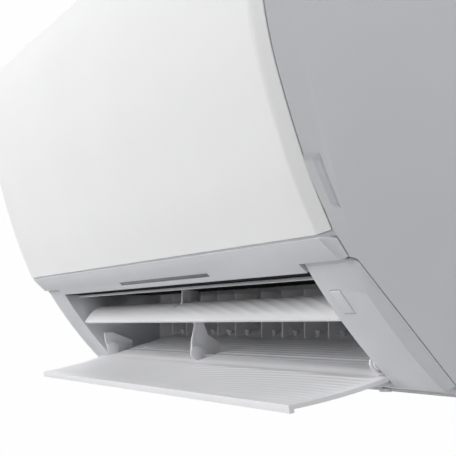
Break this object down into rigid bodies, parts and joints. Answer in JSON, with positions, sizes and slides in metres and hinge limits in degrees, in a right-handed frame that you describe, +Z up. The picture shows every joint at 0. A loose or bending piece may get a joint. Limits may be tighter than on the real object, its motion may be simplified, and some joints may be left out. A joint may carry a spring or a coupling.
{
  "type": "mini split indoor unit",
  "caption": "Wall-mounted air conditioner indoor unit with a curved white front panel, grey sides, an open air outlet with swing vanes, and its fan, coil and controls inside.",
  "frame": {"origin": "middle of the wall plate's back face, on the wall", "axes": "+X to the right of someone who looks at the front, +Y into the wall, +Z up; the front panel faces -Y"},
  "size_m": [0.87, 0.2551, 0.303],
  "materials": {
    "panel": "glossy white moulded plastic",
    "body": "satin grey moulded plastic",
    "trim": "satin light grey moulded plastic",
    "vane": "satin pale grey moulded plastic",
    "upright": "satin mid grey moulded plastic",
    "dark": "matt near-black moulded plastic",
    "chassis": "matt light grey moulded plastic",
    "foam": "matt white foam-lined plastic",
    "steel": "zinc-coated sheet steel",
    "aluminium": "stacked thin fins",
    "copper": "bare copper tube",
    "brass": "machined brass",
    "board": "green circuit board with parts",
    "lens": "smoked glossy plastic",
    "rubber": "matt black rubber",
    "filter": "fine mesh in a ribbed frame"
  },
  "bodies": {
    "casing": {"wall_plate": "steel", "rear_chassis": "chassis", "body_shell": "body", "display_strip": "trim", "indicator_lens": "lens", "display_board": "board", "outlet_frame": "trim", "duct_ceiling": "dark", "ceiling_rail": "trim", "vane_stay_left": "vane", "vane_stay_middle": "vane", "vane_stay_right": "vane", "fan_motor": "steel", "motor_bracket": "chassis", "fan_bearing": "rubber", "evaporator_lower": "aluminium", "evaporator_upper": "aluminium", "evaporator_rear": "aluminium", "drain_pan": "foam", "gas_pipe": "copper", "liquid_pipe": "copper", "gas_flare_nut": "brass", "liquid_flare_nut": "brass", "filter_left": "filter", "filter_right": "filter", "control_box": "steel", "control_box_cover": "steel", "main_board": "board", "terminal_block": "dark", "vane_motor_upper": "steel", "vane_motor_lower": "steel", "swing_motor_left": "steel", "swing_motor_right": "steel", "casing_screw_left": "steel", "casing_screw_right": "steel"},
    "panel": {"front_panel": "panel"},
    "lower_louvre": {"lower_vane": "vane"},
    "upper_louvre": {"upper_vane": "vane"},
    "fan": {"cross_flow_fan": "dark", "motor_shaft": "steel"},
    "button": {"emergency_button": "trim"},
    "rod_left": {"link_rod_left": "trim"},
    "rod_right": {"link_rod_right": "trim"},
    "upright_left_1": {"upright_vane_left_1": "upright"},
    "upright_left_2": {"upright_vane_left_2": "upright"},
    "upright_left_3": {"upright_vane_left_3": "upright"},
    "upright_left_4": {"upright_vane_left_4": "upright"},
    "upright_left_5": {"upright_vane_left_5": "upright"},
    "upright_right_1": {"upright_vane_right_1": "upright"},
    "upright_right_2": {"upright_vane_right_2": "upright"},
    "upright_right_3": {"upright_vane_right_3": "upright"},
    "upright_right_4": {"upright_vane_right_4": "upright"},
    "upright_right_5": {"upright_vane_right_5": "upright"},
    "upright_right_6": {"upright_vane_right_6": "upright"},
    "upright_right_7": {"upright_vane_right_7": "upright"},
    "upright_right_8": {"upright_vane_right_8": "upright"}
  },
  "joints": [
    {"name": "panel_hinge", "type": "hinge", "parent": "casing", "child": "panel", "pos_m": [0, -0.205, 0.133], "axis": [-1, 0, 0], "range_deg": [0, 60]},
    {"name": "lower_louvre_hinge", "type": "hinge", "parent": "casing", "child": "lower_louvre", "pos_m": [0, -0.151, -0.1315], "axis": [-1, 0, 0], "range_deg": [-25, 67.5]},
    {"name": "upper_louvre_hinge", "type": "hinge", "parent": "casing", "child": "upper_louvre", "pos_m": [0, -0.158, -0.097], "axis": [-1, 0, 0], "range_deg": [-8, 55]},
    {"name": "fan_spin", "type": "hinge", "parent": "casing", "child": "fan", "pos_m": [0, -0.1, -0.028], "axis": [1, 0, 0], "continuous": true},
    {"name": "button_press", "type": "slide", "parent": "casing", "child": "button", "axis": [0, 0.8158, 0.5783], "range_m": [0, 0.0012], "stiffness_N_per_m": 150, "springref_m": -0.002},
    {"name": "upright_left_1_hinge", "type": "hinge", "parent": "casing", "child": "upright_left_1", "pos_m": [-0.332, -0.088, -0.105], "axis": [0, 0, 1], "range_deg": [-35, 35]},
    {"name": "upright_left_2_hinge", "type": "hinge", "parent": "casing", "child": "upright_left_2", "pos_m": [-0.279, -0.088, -0.105], "axis": [0, 0, 1], "range_deg": [-35, 35]},
    {"name": "upright_left_3_hinge", "type": "hinge", "parent": "casing", "child": "upright_left_3", "pos_m": [-0.226, -0.088, -0.105], "axis": [0, 0, 1], "range_deg": [-35, 35]},
    {"name": "upright_left_4_hinge", "type": "hinge", "parent": "casing", "child": "upright_left_4", "pos_m": [-0.173, -0.088, -0.105], "axis": [0, 0, 1], "range_deg": [-35, 35]},
    {"name": "upright_left_5_hinge", "type": "hinge", "parent": "casing", "child": "upright_left_5", "pos_m": [-0.12, -0.088, -0.105], "axis": [0, 0, 1], "range_deg": [-35, 35]},
    {"name": "rod_left_pin", "type": "hinge", "parent": "upright_left_1", "child": "rod_left", "pos_m": [-0.332, -0.075, -0.0895], "axis": [0, 0, 1], "range_deg": [-35, 35]},
    {"name": "upright_right_1_hinge", "type": "hinge", "parent": "casing", "child": "upright_right_1", "pos_m": [-0.046, -0.088, -0.105], "axis": [0, 0, 1], "range_deg": [-35, 35]},
    {"name": "upright_right_2_hinge", "type": "hinge", "parent": "casing", "child": "upright_right_2", "pos_m": [0.007, -0.088, -0.105], "axis": [0, 0, 1], "range_deg": [-35, 35]},
    {"name": "upright_right_3_hinge", "type": "hinge", "parent": "casing", "child": "upright_right_3", "pos_m": [0.06, -0.088, -0.105], "axis": [0, 0, 1], "range_deg": [-35, 35]},
    {"name": "upright_right_4_hinge", "type": "hinge", "parent": "casing", "child": "upright_right_4", "pos_m": [0.113, -0.088, -0.105], "axis": [0, 0, 1], "range_deg": [-35, 35]},
    {"name": "upright_right_5_hinge", "type": "hinge", "parent": "casing", "child": "upright_right_5", "pos_m": [0.166, -0.088, -0.105], "axis": [0, 0, 1], "range_deg": [-35, 35]},
    {"name": "upright_right_6_hinge", "type": "hinge", "parent": "casing", "child": "upright_right_6", "pos_m": [0.219, -0.088, -0.105], "axis": [0, 0, 1], "range_deg": [-35, 35]},
    {"name": "upright_right_7_hinge", "type": "hinge", "parent": "casing", "child": "upright_right_7", "pos_m": [0.272, -0.088, -0.105], "axis": [0, 0, 1], "range_deg": [-35, 35]},
    {"name": "upright_right_8_hinge", "type": "hinge", "parent": "casing", "child": "upright_right_8", "pos_m": [0.325, -0.088, -0.105], "axis": [0, 0, 1], "range_deg": [-35, 35]},
    {"name": "rod_right_pin", "type": "hinge", "parent": "upright_right_1", "child": "rod_right", "pos_m": [-0.046, -0.075, -0.0895], "axis": [0, 0, 1], "range_deg": [-35, 35]}
  ],
  "couplings": [
    {"joint": "upright_left_2_hinge", "follows": "upright_left_1_hinge", "ratio": 1},
    {"joint": "upright_left_3_hinge", "follows": "upright_left_1_hinge", "ratio": 1},
    {"joint": "upright_left_4_hinge", "follows": "upright_left_1_hinge", "ratio": 1},
    {"joint": "upright_left_5_hinge", "follows": "upright_left_1_hinge", "ratio": 1},
    {"joint": "rod_left_pin", "follows": "upright_left_1_hinge", "ratio": -1},
    {"joint": "upright_right_2_hinge", "follows": "upright_right_1_hinge", "ratio": 1},
    {"joint": "upright_right_3_hinge", "follows": "upright_right_1_hinge", "ratio": 1},
    {"joint": "upright_right_4_hinge", "follows": "upright_right_1_hinge", "ratio": 1},
    {"joint": "upright_right_5_hinge", "follows": "upright_right_1_hinge", "ratio": 1},
    {"joint": "upright_right_6_hinge", "follows": "upright_right_1_hinge", "ratio": 1},
    {"joint": "upright_right_7_hinge", "follows": "upright_right_1_hinge", "ratio": 1},
    {"joint": "upright_right_8_hinge", "follows": "upright_right_1_hinge", "ratio": 1},
    {"joint": "rod_right_pin", "follows": "upright_right_1_hinge", "ratio": -1}
  ]
}
